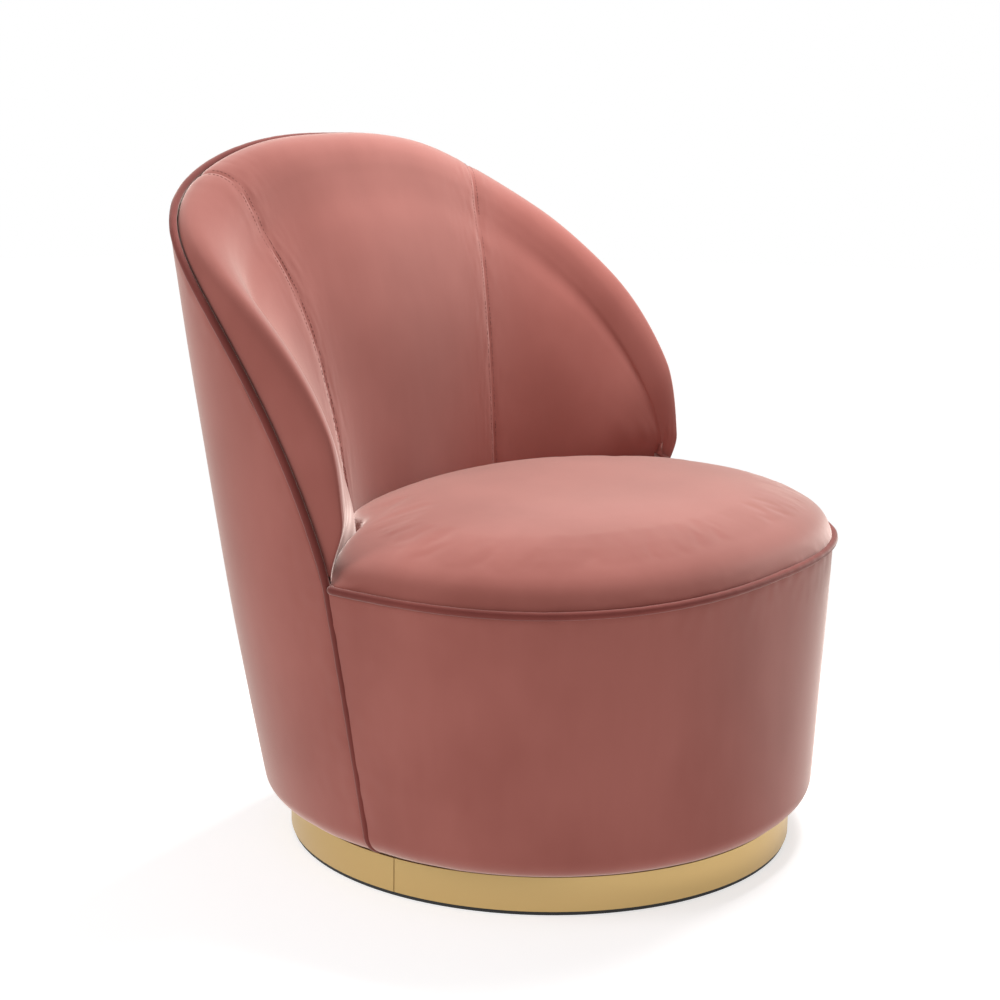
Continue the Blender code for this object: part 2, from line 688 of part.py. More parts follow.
def main():
    """Build the chair."""
    clear_scene()
    plinth = add_axis("plinth_root", (0.0, 0.0, 0.0))
    chair = add_axis("swivel_axis", (0.0, AXIS_Y, BALL_Z))
    cage = add_axis("ball_cage_axis", (0.0, AXIS_Y, BALL_Z))
    for axis in (chair, cage):
        axis.parent = plinth
    build_plinth(plinth)
    build_bearing(plinth, cage, chair)
    build_frame(chair)
    build_springs(chair)
    build_outer_back(chair)
    build_front(chair)
    build_welts(chair)
    build_back_pads(chair)
    build_seat(chair)


main()
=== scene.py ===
"""Velvet tub chair on a brass-banded swivel plinth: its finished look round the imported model.

Metres, +Z up, the floor at Z = 0, and the sitter faces -Y. Angles called theta run round
the upholstered body from its rear centre, positive towards +X.
"""
import json
import logging
import math
from collections.abc import Callable, Iterable, Sequence
from dataclasses import dataclass, field
from enum import Enum

import bmesh
import bpy
from mathutils import Matrix, Vector, noise


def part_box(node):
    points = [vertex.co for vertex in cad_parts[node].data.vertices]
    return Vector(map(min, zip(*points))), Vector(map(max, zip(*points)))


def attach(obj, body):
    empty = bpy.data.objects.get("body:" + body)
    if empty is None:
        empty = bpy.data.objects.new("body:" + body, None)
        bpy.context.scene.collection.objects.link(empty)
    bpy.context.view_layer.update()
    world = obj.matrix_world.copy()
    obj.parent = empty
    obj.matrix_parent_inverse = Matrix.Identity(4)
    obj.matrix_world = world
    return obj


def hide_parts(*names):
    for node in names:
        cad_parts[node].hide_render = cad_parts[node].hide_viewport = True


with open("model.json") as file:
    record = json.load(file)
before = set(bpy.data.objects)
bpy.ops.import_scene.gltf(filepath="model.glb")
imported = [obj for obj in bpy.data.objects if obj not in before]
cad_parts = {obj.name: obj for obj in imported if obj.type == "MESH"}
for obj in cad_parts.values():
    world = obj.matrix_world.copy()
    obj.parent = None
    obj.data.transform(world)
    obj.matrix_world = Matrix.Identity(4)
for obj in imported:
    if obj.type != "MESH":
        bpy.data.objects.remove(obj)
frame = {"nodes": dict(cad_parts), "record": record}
log = logging.getLogger("tub_chair")

Colour = tuple[float, float, float]
Piece = bpy.types.Object


class Body(Enum):
    """The rigid bodies that finished pieces ride on."""

    PLINTH = "plinth"
    CHAIR = "chair"


# ---------------------------------------------------------------- shader groups

class Sheet:
    """A node tree with short ways to add and join nodes."""

    def __init__(self, tree: bpy.types.NodeTree) -> None:
        """Work on a node tree.

        Args:
            tree: The tree of a material, a world or a group.
        """
        self.tree = tree

    def add(self, kind: str, settings: dict | None = None, **values: object) -> bpy.types.Node:
        """Add a node.

        Args:
            kind: The node's type name, without its ShaderNode prefix.
            settings: Properties of the node itself.
            values: Input sockets, spaces in their names as underscores, set or linked.

        Returns:
            The new node.
        """
        node = self.tree.nodes.new(kind if kind.startswith("Node") else "ShaderNode" + kind)
        for key, value in (settings or {}).items():
            setattr(node, key, value)
        for key, value in values.items():
            self.feed(node.inputs[key.replace("_", " ")], value)
        return node

    def feed(self, socket: bpy.types.NodeSocket, value: object) -> None:
        """Link another socket to a socket, or set its value; a colour is set opaque."""
        if isinstance(value, bpy.types.NodeSocket):
            self.tree.links.new(value, socket)
        elif socket.type == "RGBA":
            socket.default_value = (*value, 1.0)
        else:
            socket.default_value = value

    def math(self, operation: str, *values: object) -> bpy.types.NodeSocket:
        """A math node's result from numbers or sockets."""
        node = self.add("Math", {"operation": operation})
        for socket, value in zip(node.inputs, values):
            self.feed(socket, value)
        return node.outputs[0]

    def span(self, value: bpy.types.NodeSocket, low: float, high: float) -> bpy.types.NodeSocket:
        """A value stretched so that low becomes 0 and high becomes 1, held between them."""
        node = self.add("MapRange", {"interpolation_type": "SMOOTHSTEP"}, Value=value)
        node.inputs["From Min"].default_value = low
        node.inputs["From Max"].default_value = high
        return node.outputs[0]

    def noise(self, vector: bpy.types.NodeSocket, scale: object, detail: float = 2.0,
              stretch: Colour = (1.0, 1.0, 1.0)) -> bpy.types.NodeSocket:
        """Soft noise on a vector that may be stretched first."""
        place = self.add("Mapping", Vector=vector, Scale=stretch)
        grain = self.add("TexNoise", Vector=place.outputs[0], Scale=scale, Detail=detail)
        return grain.outputs[0]

    def blend(self, share: object, low: Colour, high: Colour) -> bpy.types.NodeSocket:
        """A colour between two by a share."""
        node = self.add("Mix", {"data_type": "RGBA"})
        for number, value in ((0, share), (6, low), (7, high)):
            self.feed(node.inputs[number], value)
        return node.outputs[2]


def shader_group(name: str, ins: dict[str, float], outs: Sequence[str],
                 fill: Callable[[Sheet, bpy.types.Node, bpy.types.Node], None]) -> bpy.types.NodeTree:
    """A shared effect, built once.

    Args:
        name: The group's name.
        ins: Number inputs besides Vector, with their defaults.
        outs: Output names.
        fill: Adds the group's nodes between its input and output nodes.

    Returns:
        The node group.
    """
    group = bpy.data.node_groups.get(name)
    if group is None:
        group = bpy.data.node_groups.new(name, "ShaderNodeTree")
        face = group.interface
        face.new_socket("Vector", in_out="INPUT", socket_type="NodeSocketVector")
        for key, value in ins.items():
            face.new_socket(key, in_out="INPUT", socket_type="NodeSocketFloat").default_value = value
        for key in outs:
            face.new_socket(key, in_out="OUTPUT", socket_type="NodeSocketFloat")
        sheet = Sheet(group)
        fill(sheet, sheet.add("NodeGroupInput"), sheet.add("NodeGroupOutput"))
    return group


def pile_group() -> bpy.types.NodeTree:
    """Cut pile: clouds where it lies one way or the other, short strokes, and a fine nap."""
    def fill(sheet: Sheet, given: bpy.types.Node, result: bpy.types.Node) -> None:
        vector = given.outputs["Vector"]
        cloud = sheet.span(sheet.noise(vector, given.outputs["Cloud"], 3.0, (1.0, 1.0, 0.75)), 0.30, 0.70)
        strokes = sheet.noise(vector, given.outputs["Stroke"], 4.0, (1.0, 1.0, 0.22))
        mixed = sheet.math("ADD", sheet.math("MULTIPLY", cloud, 0.55), sheet.math("MULTIPLY", strokes, 0.25))
        sheet.tree.links.new(mixed, result.inputs["Lie"])
        nap = sheet.noise(vector, given.outputs["Nap"], 3.0)
        sheet.tree.links.new(sheet.math("ADD", nap, sheet.math("MULTIPLY", strokes, 0.5)),
                             result.inputs["Height"])
    return shader_group("cut_pile", {"Cloud": 6.5, "Stroke": 60.0, "Nap": 1400.0}, ("Lie", "Height"), fill)


def brushed_group() -> bpy.types.NodeTree:
    """Fine level brush lines, with slow smudges."""
    def fill(sheet: Sheet, given: bpy.types.Node, result: bpy.types.Node) -> None:
        vector = given.outputs["Vector"]
        lines = sheet.noise(vector, given.outputs["Lines"], 3.0, (0.03, 0.03, 1.0))
        smudge = sheet.noise(vector, given.outputs["Smudge"], 2.0)
        sheet.tree.links.new(lines, result.inputs["Line"])
        sheet.tree.links.new(sheet.span(smudge, 0.35, 0.7), result.inputs["Smudge"])
    return shader_group("brushed_lines", {"Lines": 900.0, "Smudge": 9.0}, ("Line", "Smudge"), fill)


def grain_group() -> bpy.types.NodeTree:
    """Long grain: stretched rings broken up by noise."""
    def fill(sheet: Sheet, given: bpy.types.Node, result: bpy.types.Node) -> None:
        vector = given.outputs["Vector"]
        place = sheet.add("Mapping", Vector=vector, Scale=(1.0, 0.12, 1.0))
        rings = sheet.add("TexWave", {"bands_direction": "X"}, Vector=place.outputs[0],
                          Scale=given.outputs["Rings"], Distortion=6.0, Detail=3.0)
        fibre = sheet.noise(vector, given.outputs["Fibre"], 3.0, (1.0, 0.05, 1.0))
        sheet.tree.links.new(rings.outputs["Fac"], result.inputs["Ring"])
        sheet.tree.links.new(fibre, result.inputs["Fibre"])
    return shader_group("long_grain", {"Rings": 14.0, "Fibre": 420.0}, ("Ring", "Fibre"), fill)


def cells_group() -> bpy.types.NodeTree:
    """Open cells or pressed chips, by size."""
    def fill(sheet: Sheet, given: bpy.types.Node, result: bpy.types.Node) -> None:
        vector = given.outputs["Vector"]
        cells = sheet.add("TexVoronoi", Vector=vector, Scale=given.outputs["Cells"])
        patch = sheet.noise(vector, given.outputs["Patch"], 2.0)
        sheet.tree.links.new(sheet.span(cells.outputs["Distance"], 0.1, 0.6), result.inputs["Cell"])
        sheet.tree.links.new(patch, result.inputs["Patch"])
    return shader_group("small_cells", {"Cells": 600.0, "Patch": 12.0}, ("Cell", "Patch"), fill)


def weave_group() -> bpy.types.NodeTree:
    """Plain weave of crossing threads."""
    def fill(sheet: Sheet, given: bpy.types.Node, result: bpy.types.Node) -> None:
        vector = given.outputs["Vector"]
        threads = []
        for axis in ("X", "Z"):
            wave = sheet.add("TexWave", {"bands_direction": axis}, Vector=vector,
                             Scale=given.outputs["Threads"])
            threads.append(wave.outputs["Fac"])
        sheet.tree.links.new(sheet.math("MULTIPLY", *threads), result.inputs["Thread"])
        sheet.tree.links.new(sheet.noise(vector, given.outputs["Dust"], 3.0), result.inputs["Dust"])
    return shader_group("plain_weave", {"Threads": 160.0, "Dust": 25.0}, ("Thread", "Dust"), fill)


# ---------------------------------------------------------------- finishes

@dataclass(frozen=True)
class Finish:
    """A finish that makes its material once. Subclasses dress the surface."""

    name: str
    low: Colour
    high: Colour
    rough: float
    bump: float = 0.1
    depth: float = 0.0002

    def material(self) -> bpy.types.Material:
        """The finish's material."""
        made = bpy.data.materials.get(self.name)
        if made is None:
            made = bpy.data.materials.new(self.name)
            made.use_nodes = True
            sheet = Sheet(made.node_tree)
            vector = sheet.add("TexCoord").outputs["Object"]
            self.dress(sheet, made.node_tree.nodes["Principled BSDF"], vector)
        return made

    def dress(self, sheet: Sheet, surface: bpy.types.Node, vector: bpy.types.NodeSocket) -> None:
        """Join the finish's nodes to the surface."""
        raise NotImplementedError

    def join(self, sheet: Sheet, surface: bpy.types.Node, share: bpy.types.NodeSocket,
             height: bpy.types.NodeSocket, roughness: bpy.types.NodeSocket | None = None) -> None:
        """Set colour by a share, relief by a height and, if given, roughness.

        Args:
            sheet: The material's sheet.
            surface: The Principled BSDF.
            share: From the low to the high colour.
            height: Relief.
            roughness: What varies the roughness, or None for a plain one.
        """
        sheet.feed(surface.inputs["Base Color"], sheet.blend(share, self.low, self.high))
        relief = sheet.add("Bump", Strength=self.bump, Distance=self.depth, Height=height)
        sheet.feed(surface.inputs["Normal"], relief.outputs[0])
        surface.inputs["Roughness"].default_value = self.rough
        if roughness is not None:
            varied = sheet.math("MULTIPLY_ADD", roughness, 0.2, self.rough - 0.1)
            sheet.feed(surface.inputs["Roughness"], varied)


@dataclass(frozen=True)
class Velvet(Finish):
    """Short cut pile that shines at its edges and shows which way it was stroked."""

    sheen: float = 1.0
    sheen_rough: float = 0.38
    sheen_tint: Colour = (1.0, 0.84, 0.77)
    cloud: float = 6.5

    def dress(self, sheet: Sheet, surface: bpy.types.Node, vector: bpy.types.NodeSocket) -> None:
        """Pile in clouds and strokes."""
        pile = sheet.add("Group", {"node_tree": pile_group()}, Vector=vector, Cloud=self.cloud)
        self.join(sheet, surface, pile.outputs["Lie"], pile.outputs["Height"])
        surface.inputs["Sheen Weight"].default_value = self.sheen
        surface.inputs["Sheen Roughness"].default_value = self.sheen_rough
        surface.inputs["Sheen Tint"].default_value = (*self.sheen_tint, 1.0)
        surface.inputs["Specular IOR Level"].default_value = 0.15


@dataclass(frozen=True)
class BrushedMetal(Finish):
    """Metal with level brush lines."""

    stretch: float = 0.6

    def dress(self, sheet: Sheet, surface: bpy.types.Node, vector: bpy.types.NodeSocket) -> None:
        """Lines in relief and smudges in the roughness."""
        lines = sheet.add("Group", {"node_tree": brushed_group()}, Vector=vector)
        self.join(sheet, surface, lines.outputs["Line"], lines.outputs["Line"], lines.outputs["Smudge"])
        surface.inputs["Metallic"].default_value = 1.0
        surface.inputs["Anisotropic"].default_value = self.stretch


@dataclass(frozen=True)
class Timber(Finish):
    """Plywood and solid wood."""

    def dress(self, sheet: Sheet, surface: bpy.types.Node, vector: bpy.types.NodeSocket) -> None:
        """Rings for colour and fibre for relief."""
        grain = sheet.add("Group", {"node_tree": grain_group()}, Vector=vector)
        share = sheet.math("MULTIPLY_ADD", grain.outputs["Ring"], 0.6,
                           sheet.math("MULTIPLY", grain.outputs["Fibre"], 0.4))
        self.join(sheet, surface, share, grain.outputs["Fibre"], grain.outputs["Ring"])


@dataclass(frozen=True)
class Cellular(Finish):
    """Foam, pressed board, rubber or moulded plastic, by the size of its cells."""

    cells: float = 600.0

    def dress(self, sheet: Sheet, surface: bpy.types.Node, vector: bpy.types.NodeSocket) -> None:
        """Cells for relief and slow patches for colour."""
        made = sheet.add("Group", {"node_tree": cells_group()}, Vector=vector, Cells=self.cells)
        share = sheet.math("MULTIPLY", made.outputs["Cell"], made.outputs["Patch"])
        self.join(sheet, surface, share, made.outputs["Cell"], made.outputs["Patch"])


@dataclass(frozen=True)
class Woven(Finish):
    """Woven or felted cloth."""

    threads: float = 160.0

    def dress(self, sheet: Sheet, surface: bpy.types.Node, vector: bpy.types.NodeSocket) -> None:
        """Threads for relief and dust for colour."""
        made = sheet.add("Group", {"node_tree": weave_group()}, Vector=vector, Threads=self.threads)
        share = sheet.math("MULTIPLY", made.outputs["Thread"], made.outputs["Dust"])
        self.join(sheet, surface, share, made.outputs["Thread"])
        surface.inputs["Sheen Weight"].default_value = 0.05


VELVET = Velvet("rose_velvet", (0.265, 0.078, 0.063), (0.350, 0.116, 0.096), 0.9, 0.2, 0.0003)
# The welt is the body's velvet made darker: painted shade along the cord and the grooves beside it.
WELT_PAINTED_SHADE = Velvet("rose_velvet_welt_painted_shade", (0.140, 0.030, 0.025), (0.215, 0.050, 0.041), 0.85, 0.3, 0.0003, sheen=0.6)
THREAD = Woven("rose_thread", (0.17, 0.045, 0.035), (0.26, 0.085, 0.07), 0.8, 0.3, 0.0002, threads=900.0)
BRASS = BrushedMetal("brushed_brass", (0.60, 0.43, 0.19), (0.82, 0.64, 0.34), 0.30, 0.12, 0.0001)
STEEL = BrushedMetal("zinc_plated_steel", (0.50, 0.51, 0.53), (0.66, 0.66, 0.66), 0.38, 0.08, 0.0001)
RUBBER = Cellular("black_rubber", (0.012, 0.012, 0.012), (0.035, 0.034, 0.033), 0.8, 0.2, cells=900.0)
TIMBER = Timber("birch_plywood", (0.50, 0.33, 0.17), (0.72, 0.55, 0.34), 0.6, 0.15)
FIBREBOARD = Cellular("fibreboard", (0.20, 0.13, 0.075), (0.40, 0.28, 0.17), 0.8, 0.25, cells=420.0)
FOAM = Cellular("cut_foam", (0.70, 0.62, 0.40), (0.90, 0.85, 0.66), 0.95, 0.4, 0.0004, cells=700.0)
NYLON = Cellular("nylon", (0.66, 0.66, 0.60), (0.82, 0.82, 0.77), 0.45, 0.05, cells=1200.0)
WEBBING = Woven("elastic_webbing", (0.035, 0.035, 0.04), (0.12, 0.12, 0.13), 0.9, 0.5, 0.0005)
CLOTH = Woven("black_cloth", (0.012, 0.012, 0.013), (0.06, 0.06, 0.06), 0.95, 0.4, threads=300.0)

SLOT_FINISHES = {"velvet": VELVET, "velvet_welt": WELT_PAINTED_SHADE, "brushed_brass": BRASS, "black_rubber": RUBBER,
                 "birch_plywood": TIMBER, "fibreboard": FIBREBOARD, "foam": FOAM, "zinc_steel": STEEL,
                 "nylon": NYLON, "elastic_webbing": WEBBING, "black_cloth": CLOTH}


# ---------------------------------------------------------------- shape of the body

@dataclass(frozen=True)
class TubShape:
    """The upholstered body's outer surface and its welted edge."""

    centre_y: float = -0.0155
    side: tuple[float, float] = (0.303, 0.112)
    rear: tuple[float, float] = (0.316, 0.013)
    front: tuple[float, float] = (0.298, -0.030)
    rear_power: tuple[float, float] = (2.0, 2.97)
    front_power: tuple[float, float] = (2.0, 1.5)
    bottom: float = 0.046
    rounding: float = 0.022
    seat_z: float = 0.334
    top_z: float = 0.774
    edge_end: float = math.radians(81.8)
    edge_powers: tuple[float, float] = (2.92, 0.83)
    share_step: float = 0.004
    angle_step: float = 0.002
    seam_foot: float = math.radians(86.7)

    def shell(self, theta: float, z: float, inset: float = 0.0) -> Vector:
        """Point on the outer surface, moved in by inset."""
        across = self.side[0] + self.side[1] * z - inset
        if math.cos(theta) > 0.0:
            along = self.rear[0] + self.rear[1] * z - inset
            power = self.rear_power[0] + self.rear_power[1] * z
        else:
            along = self.front[0] + self.front[1] * z - inset
            power = self.front_power[0] + self.front_power[1] * z
        sine, cosine = math.sin(theta), math.cos(theta)
        radius = ((abs(sine) / across) ** power + (abs(cosine) / along) ** power) ** (-1.0 / power)
        return Vector((radius * sine, self.centre_y + radius * cosine, z))

    def radius(self, theta: float, z: float) -> float:
        """Distance of the outer surface from the body's own centre line."""
        point = self.shell(theta, z)
        return math.hypot(point.x, point.y - self.centre_y)

    def edge(self, theta: float) -> float:
        """Height of the welted edge."""
        share = min(abs(theta) / self.edge_end, 1.0)
        forward, fall = self.edge_powers
        return self.seat_z + (self.top_z - self.seat_z) * (1.0 - share ** forward) ** fall

    def edge_theta(self, share: float) -> float:
        """Angle along the edge for a share from -1 to 1, close together near its ends."""
        return self.edge_end * math.sin(math.pi / 2 * max(-1.0, min(1.0, share)))

    def edge_inside(self, share: float, distance: float) -> tuple[float, float]:
        """Angle and height of a point within the back, at a distance from its edge."""
        first, last = (self.edge_theta(share + step) for step in (-self.share_step, self.share_step))
        theta = self.edge_theta(share)
        height = self.edge(theta)
        radius = self.radius(theta, height)
        along = Vector(((last - first) * radius, self.edge(last) - self.edge(first))).normalized()
        return theta + along.y * distance / radius, height - along.x * distance

    def past_edge(self, theta: float, z: float, amount: float) -> tuple[float, float]:
        """Angle and height of a point moved square to the edge, out past it."""
        radius, step = self.radius(theta, z), self.angle_step
        rise = self.edge(theta + step) - self.edge(theta - step)
        along = Vector((2 * step * radius, rise)).normalized()
        return theta - along.y * amount / radius, z + along.x * amount

    def seam(self, z: float) -> float:
        """Angle of the side seam at a height below the seat."""
        fall = (self.seat_z - z) / (self.seat_z - self.bottom)
        return self.edge_end + (self.seam_foot - self.edge_end) * max(0.0, fall)


@dataclass(frozen=True)
class PadShape:
    """The pad inside the back: a rolled lip at the welt over a face that thickens downwards.

    The lip's points are (inset, drop) pairs from the welt inwards, each with its share of the
    wing's swell past the welt.
    """

    tub: TubShape
    lip: tuple[tuple[float, float], ...] = ((0.0070, 0.0055), (0.0080, 0.0006), (0.0118, -0.0028),
                                            (0.0180, -0.0042), (0.0270, -0.0028), (0.0365, 0.0030),
                                            (0.0450, 0.0132), (0.0515, 0.0268), (0.0570, 0.0430))
    lip_swell: tuple[float, ...] = (0.0, 0.22, 0.52, 0.82, 1.0, 1.0, 0.96, 0.90, 0.82)
    thin: float = 0.0214
    growth: float = 0.110
    length: float = 0.130
    bottom: float = 0.320
    seam: float = math.radians(38.5)
    taper_from: float = math.radians(65.0)
    taper_left: float = 0.06
    full_reach: float = 0.10
    wing_at: float = math.radians(74.5)
    wing_spread: tuple[float, float] = (math.radians(15.0), math.radians(8.5))
    wing_swell: float = 0.051
    wing_power: float = 1.6
    wing_foot: tuple[float, float] = (0.334, 0.060)
    face_rows: tuple[float, ...] = (0.06, 0.14, 0.24, 0.36, 0.50, 0.66, 0.83, 1.0)

    def fade(self, theta: float) -> float:
        """How much of the pad is left as it runs out towards the end of the edge."""
        share = (abs(theta) - self.taper_from) / (self.tub.edge_end - self.taper_from)
        return 1.0 - (1.0 - self.taper_left) * max(0.0, min(1.0, share)) ** 2.0

    def inset(self, theta: float, drop: float) -> float:
        """Inset of the face at a drop below the edge."""
        return (self.thin + self.growth * (1.0 - math.exp(-drop / self.length))) * self.fade(theta)

    def swell(self, theta: float, z: float) -> float:
        """How far the wing stands out past the welt, less as it comes down to the seat."""
        away = abs(theta) - self.wing_at
        away /= self.wing_spread[0 if away < 0.0 else 1]
        low, span = self.wing_foot
        rise = max(0.0, min(1.0, (z - low) / span))
        rise *= rise * (3.0 - 2.0 * rise)
        return self.wing_swell * math.exp(-abs(away) ** self.wing_power) * rise

    def section(self, theta: float) -> list[tuple[float, float, float]]:
        """Inset, drop and swell of the points that the section's curve runs through."""
        fade, top = self.fade(theta), self.tub.edge(theta)
        reach = top - self.bottom
        squeeze, welt = min(1.0, reach / self.full_reach), self.lip[0][0]
        points = []
        for (inset, drop), share in zip(self.lip, self.lip_swell):
            drop *= squeeze if drop > 0.0 else fade
            points.append((welt + (inset - welt) * fade, drop, share * self.swell(theta, top - drop)))
        first = points[-1][1]
        for share in self.face_rows:
            drop = first + (reach - first) * share
            inset = max(self.inset(theta, drop), points[-1][0])
            kept = self.lip_swell[-1] * (1.0 - share * share)
            points.append((inset, drop, kept * self.swell(theta, top - drop)))
        return points

    def point(self, theta: float, share: float) -> Vector:
        """Point on the pad's face.

        Args:
            theta: Angle of the column.
            share: From 0 at the welt to 1 at the bottom.

        Returns:
            The point on a smooth curve through the section.
        """
        points = self.section(theta)
        at = share * (len(points) - 1)
        i = min(int(at), len(points) - 2)
        t = at - i
        knots = [points[min(max(j, 0), len(points) - 1)] for j in (i - 1, i, i + 1, i + 2)]
        inset, drop, out = (catmull([knot[axis] for knot in knots], t) for axis in (0, 1, 2))
        return self.tub.shell(*self.tub.past_edge(theta, self.tub.edge(theta) - drop, out), inset)


def catmull(knots: Sequence[float], t: float) -> float:
    """A smooth curve through four numbers, at t between the middle two."""
    a, b, c, d = knots
    return b + 0.5 * t * (c - a + t * (2 * a - 5 * b + 4 * c - d + t * (3 * (b - c) + d - a)))


def swell(point: Vector, size: float, seed: float) -> float:
    """Slow unevenness from -1 to 1 with features of a size."""
    return noise.noise(point / size + Vector((seed, 0.7 * seed, -seed)))


@dataclass(frozen=True)
class Unevenness:
    """Soft bumps of a height and a size, which may fade with distance from a seam or a hem."""

    height: float
    size: float
    reach: float = math.inf
    seed: float = 0.0

    def at(self, point: Vector, gap: float = 0.0, seed: float = 0.0) -> float:
        """The bumps' height at a point, a gap away from where they are tallest."""
        return self.height * math.exp(-gap / self.reach) * swell(point, self.size, self.seed + seed)


CORD_WRAP = Unevenness(0.06, 0.011, seed=3.0)


# ---------------------------------------------------------------- building

def add_piece(name: str, work: bmesh.types.BMesh, finish: Finish, slot: str, body: Body,
              replaces: Iterable[str] = ()) -> Piece:
    """Turn a bmesh into a piece that rides on a body.

    Args:
        name: The piece's name.
        work: Its mesh, which is freed.
        finish: Its finish.
        slot: The record's material slot; not used.
        body: The body it rides on.
        replaces: The frame's nodes that it stands for.

    Returns:
        The new piece.
    """
    mesh = bpy.data.meshes.new(name)
    work.to_mesh(mesh)
    work.free()
    mesh.materials.append(finish.material())
    mesh.shade_smooth()
    piece = bpy.data.objects.new(name, mesh)
    bpy.context.scene.collection.objects.link(piece)
    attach(piece, body.value)
    if replaces:
        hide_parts(*replaces)
    log.info("%s: %d faces", name, len(mesh.polygons))
    return piece


def thicken(piece: Piece, thickness: float) -> None:
    """Give a sheet its thickness, inwards, with a crisp rim."""
    work = bmesh.new()
    work.from_mesh(piece.data)
    for edge in work.edges:
        edge.smooth = not edge.is_boundary
    work.to_mesh(piece.data)
    work.free()
    wall = piece.modifiers.new("thickness", "SOLIDIFY")
    wall.thickness = thickness
    wall.offset = -1.0
    wall.use_even_offset = True


def placed_grid(columns: int, rows: int, place: Callable[[float, float], Vector]) -> bmesh.types.BMesh:
    """A grid whose points are each placed by their share across and down.

    Args:
        columns: Cells across.
        rows: Cells down.
        place: Gives a point for shares from 0 to 1.

    Returns:
        The mesh.
    """
    work = bmesh.new()
    bmesh.ops.create_grid(work, x_segments=columns, y_segments=rows, size=0.5)
    for vert in work.verts:
        vert.co = place(vert.co.x + 0.5, 0.5 - vert.co.y)
    return work


def close_up(work: bmesh.types.BMesh) -> bmesh.types.BMesh:
    """Join a wrapped grid's edges, fill its open ends and face it outwards."""
    bmesh.ops.remove_doubles(work, verts=work.verts, dist=1e-6)
    bmesh.ops.holes_fill(work, edges=[edge for edge in work.edges if edge.is_boundary], sides=0)
    bmesh.ops.recalc_face_normals(work, faces=work.faces)
    return work


def sweep_cord(path: Sequence[Vector], radius: float, sides: int = 12) -> bmesh.types.BMesh:
    """A round cord along a path, a little uneven as wrapped cord is.

    Args:
        path: Points close together.
        radius: The cord's radius.
        sides: Sides of its section.

    Returns:
        The cord's mesh.
    """
    last = len(path) - 1
    frames = []
    up = Vector((0.0, 0.0, 1.0))
    for i, point in enumerate(path):
        along = (path[min(i + 1, last)] - path[max(i - 1, 0)]).normalized()
        side = (up - along * up.dot(along)).cross(along).normalized()
        up = along.cross(side)
        frames.append((point, side, up))

    def place(across: float, down: float) -> Vector:
        point, side, above = frames[round(down * last)]
        turn = math.tau * across
        away = side * math.cos(turn) + above * math.sin(turn)
        return point + away * radius * (1.0 + CORD_WRAP.at(point + away * radius))
    return close_up(placed_grid(sides, last, place))


# ---------------------------------------------------------------- covers

@dataclass
class WallCover:
    """A velvet cover that hangs from a seam, turns under the body and ends in a flange."""

    tub: TubShape
    thickness: float = 0.0012
    seam_clear: float = 0.0032
    flange: float = 0.020
    tuck: float = 0.0007
    tuck_reach: float = 0.0035
    side_reach: float = 0.3
    slack: Unevenness = Unevenness(0.0009, 0.13)
    pucker: Unevenness = Unevenness(0.0008, 0.016, 0.022, 5.0)
    hem: Unevenness = Unevenness(0.0007, 0.035, 0.012, 9.0)
    hem_line: Unevenness = Unevenness(0.0007, 0.05, 0.012, 2.0)
    wall_rows: int = 72
    arc_rows: int = 10
    flange_rows: int = 3
    columns: int = 300

    def fall(self, lean: Callable[[float], float], top: float, down: float, side: float,
             seed: float) -> Vector:
        """Point on the cover below one point of its seam.

        Args:
            lean: Gives the angle at a height.
            top: Height of the seam.
            down: Share of the way down, from 0 to 1.
            side: Distance to the nearer side seam, as a share of the cover's half width.
            seed: Sets this cover's own unevenness.

        Returns:
            The point.
        """
        rounding = self.tub.rounding
        start = self.tub.bottom + rounding
        row = down * (self.wall_rows + self.arc_rows + self.flange_rows)
        z, inset = start, 0.0
        if row <= self.wall_rows:
            z = top + (start - top) * row / self.wall_rows
        else:
            turn = min(1.0, (row - self.wall_rows) / self.arc_rows) * math.pi / 2
            z = start - rounding * math.sin(turn)
            inset = rounding - rounding * math.cos(turn)
            inset += self.flange * max(0.0, row - self.wall_rows - self.arc_rows) / self.flange_rows
        theta = lean(z)
        point = self.tub.shell(theta, z)
        gap, rise = min(top - z, side * self.side_reach), abs(z - self.tub.bottom)
        relief = self.slack.at(point, 0.0, seed) + self.pucker.at(point, gap, seed)
        relief += self.hem.at(point, rise, seed) - self.tuck * math.exp(-gap / self.tuck_reach)
        point = self.tub.shell(theta, z, inset - relief)
        point.z += self.hem_line.at(point, rise, seed)
        return point

    def hang(self, name: str, node: str, place: Callable[[float, float], Vector]) -> None:
        """Make a cover in place of a node, from its points' places."""
        work = placed_grid(self.columns, self.wall_rows + self.arc_rows + self.flange_rows, place)
        thicken(add_piece(name, work, VELVET, "velvet", Body.CHAIR, [node]), self.thickness)

    def build_back(self) -> None:
        """The outer back, from one side seam round the rear to the other."""
        end = self.tub.edge_end - self.seam_clear / self.tub.radius(self.tub.edge_end, self.tub.seat_z)

        def place(across: float, down: float) -> Vector:
            theta, top = self.tub.edge_inside(1.0 - 2.0 * across, self.seam_clear)
            share = theta / end

            def lean(z: float) -> float:
                if z > self.tub.seat_z:
                    return theta
                return share * (self.tub.seam(z) - self.seam_clear / self.tub.radius(end, z))
            return self.fall(lean, top, down, 1.0 - abs(share), 1.0)
        self.hang("outer_back_velvet", "outer_back_cover", place)

    def build_front(self) -> None:
        """The plain front below the seat's welt."""
        top = self.tub.seat_z - self.seam_clear

        def place(across: float, down: float) -> Vector:
            side = 1.0 - 2.0 * across

            def lean(z: float) -> float:
                reach = math.pi - self.tub.seam(z) - self.seam_clear / self.tub.radius(self.tub.edge_end, z)
                return math.pi + side * reach
            return self.fall(lean, top, down, 1.0 - abs(side), 4.0)
        self.hang("front_velvet", "front_cover", place)


